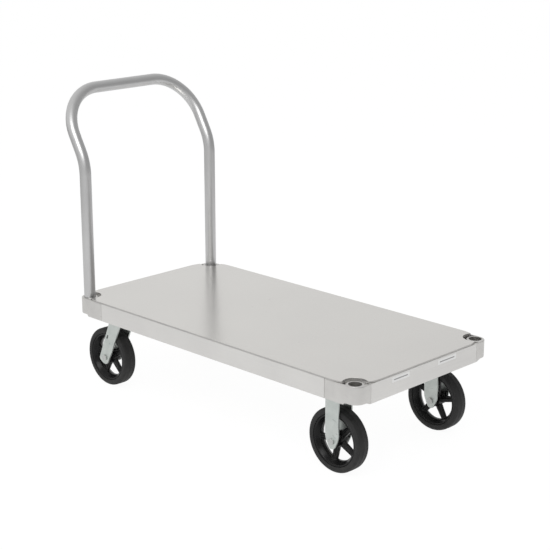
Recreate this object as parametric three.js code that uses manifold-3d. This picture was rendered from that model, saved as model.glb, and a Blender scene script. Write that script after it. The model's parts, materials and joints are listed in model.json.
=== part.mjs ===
// Aluminium platform truck with a lift-out bow handle, two rigid and two swivel casters.
// Millimetres, +Z up, +X towards the open end of the deck, floor at z = 0.
// The origin is on the floor under the middle of the whole truck, handle overhang included.

import * as THREE from 'three';
import { mergeVertices } from 'three/addons/utils/BufferGeometryUtils.js';
import Module from 'manifold-3d';

const wasm = await Module();
wasm.setup();

// ---- Driving dimensions ----

const deckLength = 1255;
const deckWidth = 610;
const deckHeight = 315;
const frameDepth = 65.5;
const plateThickness = 4.8;
const plateCornerRadius = 100;
const wallThickness = 5;
const flangeWidth = 25;
const seam = 0.3;

const socketInsetX = 31.5;
const socketInsetY = 27.2;
const socketBossRadius = 27;
const socketBoreRadius = 20;
const socketFloor = 6;
const notchRadius = 38;
const castingWall = 6;
const castingCornerRadius = 33;
const castingArmX = 125;
const castingArmY = 60;
const castingBossLift = 6.5;
const drainRadius = 6;

const tubeRadius = 19.05;
const tubeWall = 2.4;
const kinkApexAboveDeck = 452.8;
const kinkAngle = THREE.MathUtils.degToRad(29.6);
const kinkRadius = 160;
const bowRadius = 154;
const bowRise = 211;

const casterInset = 135;
const casterSpacingY = 229;
const swivelTrail = 56;
const casterChannelWidth = 132;
const centreChannelWidth = 50;
const centreChannelX = 165;
const channelWeb = 6;

const wheelRadius = 100;
const treadWidth = 48;
const treadShoulder = 9;
const rimRadius = 81;
const rimInnerRadius = 66;
const rimInset = 3;
const rimWall = 5;
const hubRadius = 23;
const hubHalf = 24.5;
const spokeCount = 5;
const spokeHalfWidth = { hub: 10, rim: 8 };
const spokeHalfThickness = 9;
const spokeTurnDegrees = { front_right: 10, front_left: -30, rear_right: 28, rear_left: 50 };
const bearingRadius = 11;
const bearingHalf = 25.2;
const axleRadius = 6;
const axleHead = { radius: 10.5, thickness: 4 };
const axleNutThickness = 7;
const axleEnd = 9;
const boreGap = 0.5;

const casterPlate = { x: 114, y: 102, thickness: 6 };
const boltSpacing = { x: 92, y: 67 };
const boltRadius = 5;
const boltHoleRadius = 6;
const boltHead = { radius: 9, thickness: 6 };
const boltEnd = 12;
const legInside = 26;
const legThickness = 5;
const raceHeight = 11.7;
const raceRadius = 34;
const raceBoreRadius = 11.5;
const raceChamfer = 3.5;
const crownThickness = 5;
const crownHalfLength = 30;
const kingpinRadius = 9.5;
const kingpinHead = { radius: 15, thickness: 8 };

// The outlines of the fork legs round their lower ends: X and height, both from the axle.
const rigidLegEnd = [[-26, 10], [-12, -18], [-6, -24], [6, -24], [12, -18], [26, 10]];
const swivelLegEnd = [[-31, -9], [-12, -22], [2, -24], [10, -21], [28, 11]];
const swivelLegHalfWidth = 28;

const tubeSides = 14;
const hexSides = 6;
const smallSides = 8;
const axleSides = 12;
const roundSides = 16;
const socketSides = 24;
const wheelSides = 30;

// How far a cutter reaches past the faces that it cuts, and how deep joined bars overlap.
const past = 1;

// ---- Levels and places worked out from them ----

const frameTop = deckHeight - plateThickness - seam;
const frameBottom = deckHeight - frameDepth;
const casterTop = frameBottom - seam;
const axleHeight = wheelRadius;
const crossHalfLength = deckWidth / 2 - flangeWidth - seam;
const casterX = deckLength / 2 - casterInset;
const socketX = deckLength / 2 - socketInsetX;
const socketY = deckWidth / 2 - socketInsetY;
const socketBottom = frameBottom + castingBossLift + socketFloor;

// ---- Finishes ----

const finish = (color, roughness, metalness) => new THREE.MeshStandardMaterial({ color, roughness, metalness });
const sheetAluminium = finish(0xcfcdc8, 0.35, 0.9);
const railAluminium = finish(0xcbc9c6, 0.45, 0.9);
const castAluminium = finish(0xbdbbb7, 0.6, 0.85);
const tubeAluminium = finish(0xbfbfbf, 0.3, 0.95);
const zincSteel = finish(0xb4b9b7, 0.45, 0.85);
const blackIron = finish(0x1b1b1c, 0.55, 0.1);
const blackRubber = finish(0x2a2a2b, 0.8, 0.0);
const bearingSteel = finish(0x8d8f92, 0.35, 1.0);

// ---- Helpers ----

const truck = new THREE.Group();

function solid(geometry) {
  const bare = geometry.clone();
  bare.deleteAttribute('normal');
  bare.deleteAttribute('uv');
  const merged = mergeVertices(bare, 1e-4);
  const vertProperties = new Float32Array(merged.attributes.position.array);
  const triVerts = new Uint32Array(merged.index.array);
  return new wasm.Manifold(new wasm.Mesh({ numProp: 3, vertProperties, triVerts }));
}

function toGeometry(manifold) {
  const mesh = manifold.getMesh();
  const geometry = new THREE.BufferGeometry();
  geometry.setAttribute('position', new THREE.BufferAttribute(new Float32Array(mesh.vertProperties), 3));
  geometry.setIndex(new THREE.BufferAttribute(new Uint32Array(mesh.triVerts), 1));
  geometry.computeVertexNormals();
  return geometry;
}

function addPiece(name, geometry, material, parent = truck) {
  const mesh = new THREE.Mesh(geometry, material);
  mesh.name = name;
  parent.add(mesh);
  return mesh;
}

// A round or many-sided bar from z = low to z = high.
function barZ(radius, low, high, sides = roundSides, x = 0, y = 0) {
  const geometry = new THREE.CylinderGeometry(radius, radius, high - low, sides);
  geometry.rotateX(Math.PI / 2);
  geometry.translate(x, y, (low + high) / 2);
  return geometry;
}

// The same bar lying along Y at height z.
function barY(radius, low, high, sides = roundSides, x = 0, z = 0) {
  const geometry = new THREE.CylinderGeometry(radius, radius, high - low, sides);
  geometry.translate(x, (low + high) / 2, z);
  return geometry;
}

function box(x0, x1, y0, y1, z0, z1) {
  const geometry = new THREE.BoxGeometry(x1 - x0, y1 - y0, z1 - z0);
  geometry.translate((x0 + x1) / 2, (y0 + y1) / 2, (z0 + z1) / 2);
  return geometry;
}

// An outline in X and Z, made a plate between y = low and y = high.
function plateXZ(points, low, high) {
  const shape = new THREE.Shape(points.map(([x, z]) => new THREE.Vector2(x, z)));
  const geometry = new THREE.ExtrudeGeometry(shape, { depth: high - low, bevelEnabled: false });
  geometry.rotateX(Math.PI / 2);
  geometry.translate(0, high, 0);
  return geometry;
}

// Reflects a shape into another quarter of the truck and keeps its faces pointing out.
function mirrored(geometry, signX, signY) {
  const copy = geometry.clone();
  copy.scale(signX, signY, 1);
  if (signX * signY < 0) {
    const index = copy.index.array;
    for (let i = 0; i < index.length; i += 3) {
      [index[i + 1], index[i + 2]] = [index[i + 2], index[i + 1]];
    }
  }
  copy.computeVertexNormals();
  return copy;
}

const ends = [['front', 1], ['rear', -1]];
const sides = [['left', 1], ['right', -1]];

// ---- Deck plate: flat sheet, large corner rounds, and a notch round each socket ----

function deckPlate() {
  const halfX = deckLength / 2;
  const halfY = deckWidth / 2;
  const r = plateCornerRadius;
  const outline = new THREE.Shape();
  outline.moveTo(halfX - r, -halfY);
  outline.absarc(halfX - r, -halfY + r, r, -Math.PI / 2, 0);
  outline.absarc(halfX - r, halfY - r, r, 0, Math.PI / 2);
  outline.absarc(-halfX + r, halfY - r, r, Math.PI / 2, Math.PI);
  outline.absarc(-halfX + r, -halfY + r, r, Math.PI, Math.PI * 1.5);
  const sheet = new THREE.ExtrudeGeometry(outline, { depth: plateThickness, bevelEnabled: false, curveSegments: 4 });
  sheet.translate(0, 0, deckHeight - plateThickness);
  let plate = solid(sheet);
  for (const [, signX] of ends) {
    for (const [, signY] of sides) {
      const notch = barZ(notchRadius, frameTop - past, deckHeight + past, socketSides,
        signX * socketX, signY * socketY);
      plate = plate.subtract(solid(notch));
    }
  }
  return toGeometry(plate);
}
addPiece('deck_plate', deckPlate(), sheetAluminium);

// ---- Frame rails: channels that open inwards, between the corner castings ----

function channelRail(length) {
  const depth = frameTop - frameBottom;
  const points = [
    [0, 0], [flangeWidth, 0], [flangeWidth, wallThickness], [wallThickness, wallThickness],
    [wallThickness, depth - wallThickness], [flangeWidth, depth - wallThickness], [flangeWidth, depth], [0, depth],
  ];
  const rail = plateXZ(points, -length / 2, length / 2);
  rail.translate(0, 0, frameBottom);
  return rail;
}

for (const [name, signY] of sides) {
  const rail = addPiece(`side_rail_${name}`, channelRail(deckLength - 2 * castingArmX - 2 * seam), railAluminium);
  rail.rotation.z = -signY * Math.PI / 2;
  rail.position.y = signY * deckWidth / 2;
}
for (const [name, signX] of ends) {
  const rail = addPiece(`end_rail_${name}`, channelRail(deckWidth - 2 * castingArmY - 2 * seam), railAluminium);
  rail.rotation.z = signX > 0 ? Math.PI : 0;
  rail.position.x = signX * deckLength / 2;
}

// ---- Corner castings: a round-cornered skirt, a blind socket in a boss, and flanges ----

function cornerCasting() {
  const outerX = deckLength / 2;
  const outerY = deckWidth / 2;
  const r = castingCornerRadius;
  const skirt = new THREE.Shape();
  skirt.moveTo(outerX - castingArmX, outerY);
  skirt.lineTo(outerX - castingArmX, outerY - castingWall);
  skirt.lineTo(outerX - r, outerY - castingWall);
  skirt.absarc(outerX - r, outerY - r, r - castingWall, Math.PI / 2, 0, true);
  skirt.lineTo(outerX - castingWall, outerY - castingArmY);
  skirt.lineTo(outerX, outerY - castingArmY);
  skirt.lineTo(outerX, outerY - r);
  skirt.absarc(outerX - r, outerY - r, r, 0, Math.PI / 2);
  const walls = new THREE.ExtrudeGeometry(skirt, {
    depth: frameTop - frameBottom,
    bevelEnabled: false,
    curveSegments: 3,
  });
  walls.translate(0, 0, frameBottom);
  const flangeEdge = outerY - flangeWidth;
  const armEnd = outerX - castingArmX;
  const bossSide = socketX - socketBossRadius;
  const liftStartX = bossSide + castingWall * 1.5;
  const liftStartY = outerY - castingArmY + castingWall * 1.5;
  const bottomFlangeEnd = bossSide + castingWall;
  const topFlangeEnd = bossSide - castingWall * 2;
  const intoWall = outerY - castingWall / 2;
  const bossBottom = frameBottom + castingBossLift;
  const casting = solid(walls)
    .subtract(solid(box(liftStartX, outerX + past, liftStartY, outerY + past, frameBottom - past, bossBottom)))
    .add(solid(box(armEnd, bottomFlangeEnd, flangeEdge, intoWall, frameBottom, frameBottom + castingWall)))
    .add(solid(box(armEnd, topFlangeEnd, flangeEdge, intoWall, frameTop - castingWall, frameTop)))
    .add(solid(barZ(socketBossRadius, bossBottom, frameTop, socketSides, socketX, socketY)))
    .subtract(solid(barZ(socketBoreRadius, socketBottom, frameTop + past, socketSides, socketX, socketY)))
    .subtract(solid(barZ(drainRadius, bossBottom - past, socketBottom + past, smallSides, socketX, socketY)));
  return toGeometry(casting);
}

const casting = cornerCasting();
for (const [end, signX] of ends) {
  for (const [side, signY] of sides) {
    addPiece(`corner_socket_${end}_${side}`, mirrored(casting, signX, signY), castAluminium);
  }
}

// ---- Cross members: channels that open upwards; the wide ones carry the casters ----

function crossChannel(width) {
  const depth = frameTop - frameBottom;
  const half = width / 2;
  const inner = half - wallThickness;
  const points = [
    [-half, 0], [half, 0], [half, depth], [inner, depth],
    [inner, channelWeb], [-inner, channelWeb], [-inner, depth], [-half, depth],
  ];
  const channel = plateXZ(points, -crossHalfLength, crossHalfLength);
  channel.translate(0, 0, frameBottom);
  return channel;
}

const boltPlaces = [];
for (const sx of [1, -1]) {
  for (const sy of [1, -1]) {
    boltPlaces.push([sx * boltSpacing.x / 2, sy * boltSpacing.y / 2]);
  }
}

function boltHoles(body, low, high, centreY) {
  for (const [x, y] of boltPlaces) {
    body = body.subtract(solid(barZ(boltHoleRadius, low, high, smallSides, x, y + centreY)));
  }
  return body;
}

function casterChannel() {
  let channel = solid(crossChannel(casterChannelWidth));
  for (const [, signY] of sides) {
    channel = boltHoles(channel, frameBottom - past, frameBottom + channelWeb + past, signY * casterSpacingY);
  }
  return toGeometry(channel);
}

const casterChannelShape = casterChannel();
for (const [end, signX] of ends) {
  addPiece(`caster_channel_${end}`, casterChannelShape, railAluminium).position.x = signX * casterX;
  addPiece(`centre_channel_${end}`, crossChannel(centreChannelWidth), railAluminium).position.x =
    signX * centreChannelX;
}

// ---- Handle: one bent tube, standing in the two rear sockets ----

// A circular bend: from the centre, the first spoke points at the start of the bend,
// and the second at the place a quarter turn on.
class Bend extends THREE.Curve {
  constructor(centre, firstSpoke, secondSpoke, angle) {
    super();
    Object.assign(this, { centre, firstSpoke, secondSpoke, angle });
  }

  getPoint(t, target = new THREE.Vector3()) {
    return target.copy(this.centre)
      .addScaledVector(this.firstSpoke, Math.cos(t * this.angle))
      .addScaledVector(this.secondSpoke, Math.sin(t * this.angle));
  }
}

// Joined stretches, each cut into its own number of steps: one for a straight, more for a bend.
class SteppedPath extends THREE.Curve {
  constructor(stretches) {
    super();
    this.stretches = stretches;
    this.steps = stretches.reduce((sum, { steps }) => sum + steps, 0);
  }

  getPoint(t, target = new THREE.Vector3()) {
    let station = t * this.steps;
    for (const { curve, steps } of this.stretches) {
      if (station <= steps) {
        return curve.getPoint(station / steps, target);
      }
      station -= steps;
    }
    return this.stretches.at(-1).curve.getPoint(1, target);
  }

  getUtoTmapping(u) {
    return u;
  }
}

function handlePath() {
  const legX = -socketX;
  const legY = socketY;
  const up = new THREE.Vector3(0, 0, 1);
  const back = new THREE.Vector3(-1, 0, 0);
  const tilted = new THREE.Vector3(-Math.sin(kinkAngle), 0, Math.cos(kinkAngle));
  const kinkTangent = kinkRadius * Math.tan(kinkAngle / 2);
  const apex = new THREE.Vector3(legX, 0, deckHeight + kinkApexAboveDeck);
  const foot = new THREE.Vector3(legX, 0, socketBottom + seam);
  const kinkStart = apex.clone().addScaledVector(up, -kinkTangent);
  const kinkEnd = apex.clone().addScaledVector(tilted, kinkTangent);
  const crossbar = kinkEnd.clone().addScaledVector(tilted, bowRise);
  const bowStart = crossbar.clone().addScaledVector(tilted, -bowRadius);
  const onSide = (point, y) => new THREE.Vector3(point.x, y, point.z);
  const line = (a, b) => ({ curve: new THREE.LineCurve3(a, b), steps: 1 });

  function side(y) {
    const across = new THREE.Vector3(0, -Math.sign(y), 0);
    const kinkCentre = onSide(kinkStart, y).addScaledVector(back, kinkRadius);
    const bowCentre = onSide(bowStart, y).addScaledVector(across, bowRadius);
    return {
      foot: onSide(foot, y),
      kinkStart: onSide(kinkStart, y),
      kinkEnd: onSide(kinkEnd, y),
      bowStart: onSide(bowStart, y),
      bowEnd: onSide(crossbar, y).addScaledVector(across, bowRadius),
      kink: [kinkCentre, back.clone().multiplyScalar(-kinkRadius), up.clone().multiplyScalar(kinkRadius)],
      bow: [bowCentre, across.clone().multiplyScalar(-bowRadius), tilted.clone().multiplyScalar(bowRadius)],
    };
  }

  function reversed(curve) {
    const backwards = new THREE.Curve();
    backwards.getPoint = (t, target = new THREE.Vector3()) => curve.getPoint(1 - t, target);
    return backwards;
  }

  const left = side(legY);
  const right = side(-legY);
  const kinkOf = (leg) => new Bend(...leg.kink, kinkAngle);
  const bowOf = (leg) => new Bend(...leg.bow, Math.PI / 2);
  return new SteppedPath([
    line(left.foot, left.kinkStart),
    { curve: kinkOf(left), steps: 4 },
    line(left.kinkEnd, left.bowStart),
    { curve: bowOf(left), steps: 8 },
    line(left.bowEnd, right.bowEnd),
    { curve: reversed(bowOf(right)), steps: 8 },
    line(right.bowStart, right.kinkEnd),
    { curve: reversed(kinkOf(right)), steps: 4 },
    line(right.kinkStart, right.foot),
  ]);
}

function tubeAlong(path) {
  const section = new THREE.Shape();
  section.absarc(0, 0, tubeRadius, 0, Math.PI * 2);
  const bore = new THREE.Path();
  bore.absarc(0, 0, tubeRadius - tubeWall, 0, Math.PI * 2, true);
  section.holes.push(bore);
  return new THREE.ExtrudeGeometry(section, {
    steps: path.steps,
    extrudePath: path,
    curveSegments: tubeSides / 2,
  });
}
addPiece('handle_tube', tubeAlong(handlePath()), tubeAluminium);

// ---- Wheel pieces, about the axle along Y ----

function ringY(profile, segments) {
  const points = profile.map(([radius, y]) => new THREE.Vector2(radius, y));
  points.push(points[0].clone());
  const ring = new THREE.LatheGeometry(points, segments);
  ring.rotateY(Math.PI / segments);
  return ring;
}

// The flats of the tread lie at the wheel's radius, so that a flat stands on the floor,
// and the flats of its bore clear the rim at any turn of the core.
function treadRing() {
  const flatToPoint = 1 / Math.cos(Math.PI / wheelSides);
  const radius = wheelRadius * flatToPoint;
  const bore = (rimRadius + seam) * flatToPoint;
  const half = treadWidth / 2;
  const shoulder = treadShoulder;
  const chamfer = shoulder * (1 - Math.SQRT1_2);
  const profile = [
    [bore, -half],
    [radius - shoulder, -half],
    [radius - chamfer, -half + chamfer],
    [radius, -half + shoulder],
    [radius, half - shoulder],
    [radius - chamfer, half - chamfer],
    [radius - shoulder, half],
    [bore, half],
  ];
  return ringY(profile, wheelSides);
}

function wheelCore() {
  const rimHalf = treadWidth / 2 - rimInset;
  const rim = ringY([
    [rimRadius, -rimHalf],
    [rimRadius, rimHalf],
    [rimRadius - rimWall, rimHalf],
    [rimInnerRadius, rimWall],
    [rimInnerRadius, -rimWall],
    [rimRadius - rimWall, -rimHalf],
  ], wheelSides);
  const hub = barY(hubRadius, -hubHalf, hubHalf, socketSides);
  let core = solid(rim).add(solid(hub));
  for (let spoke = 0; spoke < spokeCount; spoke += 1) {
    const start = hubRadius - rimWall;
    const end = rimInnerRadius + rimWall;
    const arm = plateXZ([
      [start, -spokeHalfWidth.hub], [end, -spokeHalfWidth.rim], [end, spokeHalfWidth.rim],
      [start, spokeHalfWidth.hub],
    ], -spokeHalfThickness, spokeHalfThickness);
    arm.rotateY(spoke / spokeCount * Math.PI * 2 + Math.PI / 2);
    core = core.add(solid(arm));
  }
  const bore = barY(bearingRadius + seam, -hubHalf - past, hubHalf + past);
  return toGeometry(core.subtract(solid(bore)));
}

function sleeveY(outer, inner, half) {
  return ringY([[inner, -half], [outer, -half], [outer, half], [inner, half]], roundSides);
}

const tread = treadRing();
const core = wheelCore();
const bearing = sleeveY(bearingRadius, axleRadius + boreGap, bearingHalf);

const headInside = legInside + legThickness + seam;
const axleBolt = toGeometry(
  solid(barY(axleHead.radius, -headInside - axleHead.thickness, -headInside, hexSides))
    .add(solid(barY(axleRadius, -headInside - past, headInside + axleEnd, axleSides))),
);
const nutOutside = headInside + axleNutThickness;
const axleNut = toGeometry(
  solid(barY(axleHead.radius, headInside, nutOutside, hexSides))
    .subtract(solid(barY(axleRadius + boreGap, headInside - past, nutOutside + past, axleSides))),
);

function addWheel(place, x, y) {
  const pieces = [
    ['wheel_core', core, blackIron],
    ['tread', tread, blackRubber],
    ['wheel_bearing', bearing, bearingSteel],
    ['axle_bolt', axleBolt, zincSteel],
    ['axle_nut', axleNut, zincSteel],
  ];
  for (const [name, geometry, material] of pieces) {
    const piece = addPiece(`${name}_${place}`, geometry, material);
    piece.position.set(x, y, axleHeight);
    if (geometry === core) {
      piece.rotation.y = THREE.MathUtils.degToRad(spokeTurnDegrees[place]);
    }
  }
}

// ---- Caster forks ----

const legOutside = legInside + legThickness;

function legWithHole(points, low, high) {
  const leg = solid(plateXZ(points, low, high));
  return leg.subtract(solid(barY(axleRadius + boreGap, low - past, high + past, axleSides, 0, axleHeight)));
}

function bothLegs(points) {
  return legWithHole(points, legInside, legOutside).add(legWithHole(points, -legOutside, -legInside));
}

// A leg from its top edge down to its rounded end; both are given from left to right.
function legOutline(topLeft, end, topRight) {
  return [topLeft, ...end.map(([x, z]) => [x, axleHeight + z]), topRight];
}

function casterTopPlate() {
  const plate = box(-casterPlate.x / 2, casterPlate.x / 2, -casterPlate.y / 2, casterPlate.y / 2,
    casterTop - casterPlate.thickness, casterTop);
  return boltHoles(solid(plate), casterTop - casterPlate.thickness - past, casterTop + past, 0);
}

function rigidFork() {
  const left = rigidLegEnd[0][0];
  const right = rigidLegEnd.at(-1)[0];
  const points = legOutline([left, casterTop - past], rigidLegEnd, [right, casterTop - past]);
  return toGeometry(casterTopPlate().add(bothLegs(points)));
}

const plateBottom = casterTop - casterPlate.thickness;
const raceTop = plateBottom - seam;
const crownTop = raceTop - raceHeight - seam;
const crownBottom = crownTop - crownThickness;

// The legs rake back from the swivel axis to the axle; x = 0 is the axle here.
function swivelFork() {
  const points = legOutline([swivelTrail - swivelLegHalfWidth, crownTop], swivelLegEnd,
    [swivelTrail + swivelLegHalfWidth, crownTop]);
  const crown = box(swivelTrail - crownHalfLength, swivelTrail + crownHalfLength, -legOutside, legOutside,
    crownBottom, crownTop);
  const pinHole = barZ(kingpinRadius + boreGap, crownBottom - past, crownTop + past, roundSides, swivelTrail);
  return toGeometry(bothLegs(points).add(solid(crown)).subtract(solid(pinHole)));
}

function swivelTopPlate() {
  const hole = barZ(kingpinRadius + boreGap, plateBottom - past, casterTop + past);
  return toGeometry(casterTopPlate().subtract(solid(hole)));
}

function ballRace() {
  const low = raceTop - raceHeight;
  const ring = ringY([
    [raceBoreRadius, low], [raceRadius - raceChamfer, low], [raceRadius, low + raceChamfer],
    [raceRadius, raceTop - raceChamfer], [raceRadius - raceChamfer, raceTop], [raceBoreRadius, raceTop],
  ], socketSides);
  ring.rotateX(Math.PI / 2);
  return ring;
}

function kingpin() {
  const headTop = crownBottom - seam;
  const head = barZ(kingpinHead.radius, headTop - kingpinHead.thickness, headTop);
  const shank = barZ(kingpinRadius, headTop - past, casterTop - seam);
  return toGeometry(solid(head).add(solid(shank)));
}

const boltHeadTop = plateBottom - seam;
const mountingBolt = toGeometry(
  solid(barZ(boltHead.radius, boltHeadTop - boltHead.thickness, boltHeadTop, hexSides))
    .add(solid(barZ(boltRadius, boltHeadTop - past, frameBottom + channelWeb + boltEnd, smallSides))),
);

function addMountingBolts(place, x, y) {
  boltPlaces.forEach(([dx, dy], i) => {
    addPiece(`mounting_bolt_${place}_${i + 1}`, mountingBolt, zincSteel).position.set(x + dx, y + dy, 0);
  });
}

// ---- Casters: rigid at the open end, swivel at the handle end ----

const rigidForkShape = rigidFork();
const swivelForkShape = swivelFork();
const topPlateShape = swivelTopPlate();
const raceShape = ballRace();
const kingpinShape = kingpin();

for (const [side, signY] of sides) {
  const y = signY * casterSpacingY;
  const rigid = `front_${side}`;
  addPiece(`rigid_fork_${rigid}`, rigidForkShape, zincSteel).position.set(casterX, y, 0);
  addWheel(rigid, casterX, y);
  addMountingBolts(rigid, casterX, y);

  const swivel = `rear_${side}`;
  addPiece(`swivel_plate_${swivel}`, topPlateShape, zincSteel).position.set(-casterX, y, 0);
  addPiece(`ball_race_${swivel}`, raceShape, zincSteel).position.set(-casterX, y, 0);
  addPiece(`kingpin_${swivel}`, kingpinShape, zincSteel).position.set(-casterX, y, 0);
  addPiece(`swivel_fork_${swivel}`, swivelForkShape, zincSteel).position.set(-casterX - swivelTrail, y, 0);
  addWheel(swivel, -casterX - swivelTrail, y);
  addMountingBolts(swivel, -casterX, y);
}

// ---- Origin under the middle of the whole truck ----

const reach = bowRise + kinkRadius * Math.tan(kinkAngle / 2);
const rearmost = socketX + reach * Math.sin(kinkAngle) + tubeRadius;
truck.position.x = (rearmost - deckLength / 2) / 2;

export default truck;
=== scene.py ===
# %% [markdown]
# # An aluminium platform truck
# The truck is a welded aluminium deck on four 200 mm casters, with a bow handle that stands in two corner
# sockets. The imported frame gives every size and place, in metres: +X runs along the deck away from the
# handle, +Z is up and the floor is at zero. Each step below models or finishes one kind of piece.

# %% Load the frame
import json
import math

import bmesh
import bpy
from mathutils import Matrix, Vector


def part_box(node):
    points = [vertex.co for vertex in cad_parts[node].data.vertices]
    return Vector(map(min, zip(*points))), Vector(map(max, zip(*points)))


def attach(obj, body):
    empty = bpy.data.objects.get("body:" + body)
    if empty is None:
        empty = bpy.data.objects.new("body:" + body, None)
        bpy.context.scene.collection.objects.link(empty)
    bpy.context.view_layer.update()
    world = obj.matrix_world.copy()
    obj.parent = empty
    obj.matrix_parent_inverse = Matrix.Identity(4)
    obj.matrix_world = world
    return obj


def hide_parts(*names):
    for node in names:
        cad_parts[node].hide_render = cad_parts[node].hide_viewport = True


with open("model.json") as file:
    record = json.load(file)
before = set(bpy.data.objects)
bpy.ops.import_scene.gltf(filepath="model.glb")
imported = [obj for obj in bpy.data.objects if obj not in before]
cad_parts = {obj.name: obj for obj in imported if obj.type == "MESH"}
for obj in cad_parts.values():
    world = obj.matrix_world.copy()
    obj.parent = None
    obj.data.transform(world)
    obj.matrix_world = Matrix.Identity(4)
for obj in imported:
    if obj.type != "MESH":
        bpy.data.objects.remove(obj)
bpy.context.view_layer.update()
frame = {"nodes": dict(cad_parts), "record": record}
nodes = frame["nodes"]

# %% [markdown]
# ## Sizes taken from the frame
# A piece that rides on the frame has to follow it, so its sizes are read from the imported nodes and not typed
# in again. The few numbers below that the boxes can't give, such as a bend's radius, are the design's own.

# %% Sizes and places
MM = 0.001
deck_low, deck_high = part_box("deck_plate")
deck_mid = (deck_low + deck_high) / 2
deck_top = deck_high.z
deck_half_x = (deck_high.x - deck_low.x) / 2
deck_half_y = (deck_high.y - deck_low.y) / 2
sheet_thickness = deck_high.z - deck_low.z
frame_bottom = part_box("side_rail_right")[0].z

tube_radius = 19.05 * MM
tube_wall = 2.4 * MM
socket_inset_x = 31.5 * MM
socket_inset_y = 27.2 * MM
socket_x = deck_half_x - socket_inset_x
socket_y = deck_half_y - socket_inset_y
notch_radius = 38 * MM

# A cutter reaches this far to each side of a piece that it has to go right through.
REACH = 0.05

SIDES = {"left": 1, "right": -1}
ENDS = {"front": 1, "rear": -1}
WHEELS = [f"{end}_{side}" for end in ENDS for side in SIDES]


def axle_of(wheel):
    low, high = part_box(f"wheel_bearing_{wheel}")
    return (low + high) / 2


wheel_radius = axle_of("front_right").z
print("deck", round(2 * deck_half_x, 4), "by", round(2 * deck_half_y, 4), "top at", round(deck_top, 4))


# %% [markdown]
# ## Small helpers for modelling by hand
# Blender's operators act on whatever is selected, so each step starts with nothing selected. In edit mode
# faces, edges and points are chosen in code by where they are, which is what a person does with the mouse.

# %% Helpers: selecting and editing
def deselect():
    if bpy.context.object and bpy.context.object.mode != "OBJECT":
        bpy.ops.object.mode_set(mode="OBJECT")
    bpy.ops.object.select_all(action="DESELECT")


def activate(piece):
    deselect()
    piece.select_set(True)
    bpy.context.view_layer.objects.active = piece


def added(name):
    """Names the primitive that was just added, and moves its place into its mesh."""
    piece = bpy.context.object
    piece.name = name
    piece.data.name = name
    bpy.ops.object.transform_apply(location=True, rotation=True, scale=True)
    return piece


def edit(piece, mode="VERT"):
    activate(piece)
    bpy.ops.object.mode_set(mode="EDIT")
    bpy.ops.mesh.select_mode(type=mode)
    bpy.ops.mesh.select_all(action="DESELECT")


def done():
    bpy.ops.object.mode_set(mode="OBJECT")


def pick(piece, kind, test):
    """Selects the points, edges or faces of a piece in edit mode whose middle passes a test."""
    mesh = bmesh.from_edit_mesh(piece.data)
    for item in getattr(mesh, kind):
        if kind == "verts":
            middle = item.co
        elif kind == "edges":
            middle = (item.verts[0].co + item.verts[1].co) / 2
        else:
            middle = item.calc_center_median()
        if test(middle, item):
            item.select_set(True)
    mesh.select_flush(True)
    bmesh.update_edit_mesh(piece.data)


def apply_modifier(piece, kind, **settings):
    activate(piece)
    modifier = piece.modifiers.new(kind.title(), kind)
    for key, value in settings.items():
        setattr(modifier, key, value)
    bpy.ops.object.modifier_apply(modifier=modifier.name)


def soften(piece, width, segments=2, angle=35):
    """Rounds every edge sharper than the angle, which is what catches the light on real metal."""
    apply_modifier(piece, "BEVEL", width=width, segments=segments, limit_method="ANGLE",
                   angle_limit=math.radians(angle), harden_normals=True, miter_outer="MITER_ARC")


def tidy_mesh(piece):
    """Merges doubles and turns every face outwards."""
    edit(piece)
    bpy.ops.mesh.select_all(action="SELECT")
    bpy.ops.mesh.remove_doubles(threshold=1e-6)
    bpy.ops.mesh.normals_make_consistent(inside=False)
    done()


def smooth_by_angle(piece, degrees=35):
    activate(piece)
    bpy.ops.object.shade_smooth_by_angle(angle=math.radians(degrees))


def cut(piece, cutter):
    apply_modifier(piece, "BOOLEAN", operation="DIFFERENCE", solver="EXACT", object=cutter)
    bpy.data.objects.remove(cutter)


def join_solid(piece, other):
    apply_modifier(piece, "BOOLEAN", operation="UNION", solver="EXACT", object=other)
    bpy.data.objects.remove(other)


def copied(piece, name, matrix=Matrix.Identity(4)):
    """A copy with its own mesh, moved in its mesh and not as an object."""
    copy = piece.copy()
    copy.data = piece.data.copy()
    copy.name = name
    copy.data.name = name
    bpy.context.scene.collection.objects.link(copy)
    copy.data.transform(matrix)
    if matrix.determinant() < 0:
        copy.data.flip_normals()
    return copy


def settle(piece, body, finish, slot=None, *stands_for):
    """Gives a finished piece its material and the body that it moves with, and hides the nodes that it stands
    for.
    """
    piece.data.materials.clear()
    piece.data.materials.append(finish)
    if stands_for:
        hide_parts(*stands_for)
    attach(piece, body)


# %% Helpers: primitives at a size and place
def rod(name, radius, start, end, sides=64):
    """A round bar between two points."""
    start, end = Vector(start), Vector(end)
    deselect()
    turn = Vector((0, 0, 1)).rotation_difference(end - start).to_euler()
    bpy.ops.mesh.primitive_cylinder_add(
        vertices=sides, radius=radius, depth=(end - start).length, location=(start + end) / 2, rotation=turn)
    return added(name)


def block(name, low, high):
    low, high = Vector(low), Vector(high)
    deselect()
    bpy.ops.mesh.primitive_cube_add(size=1, location=(low + high) / 2)
    bpy.context.object.scale = high - low
    return added(name)


# %% [markdown]
# ## Shared effects for the materials
# Real metal is never one flat tone. Three effects turn up in nearly every finish here, so each is one shader
# group with its own inputs: drawn or rolled grain that runs one way, cloudy patches where the surface took
# the light or the plating differently, and dust that settles low down near the floor.

# %% Group helpers
def new_group(name, inputs, outputs):
    tree = bpy.data.node_groups.new(name, "ShaderNodeTree")
    for label, kind, default in inputs:
        socket = tree.interface.new_socket(name=label, in_out="INPUT", socket_type=kind)
        socket.default_value = default
    for label, kind in outputs:
        tree.interface.new_socket(name=label, in_out="OUTPUT", socket_type=kind)
    return tree, tree.nodes.new("NodeGroupInput"), tree.nodes.new("NodeGroupOutput")


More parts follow.
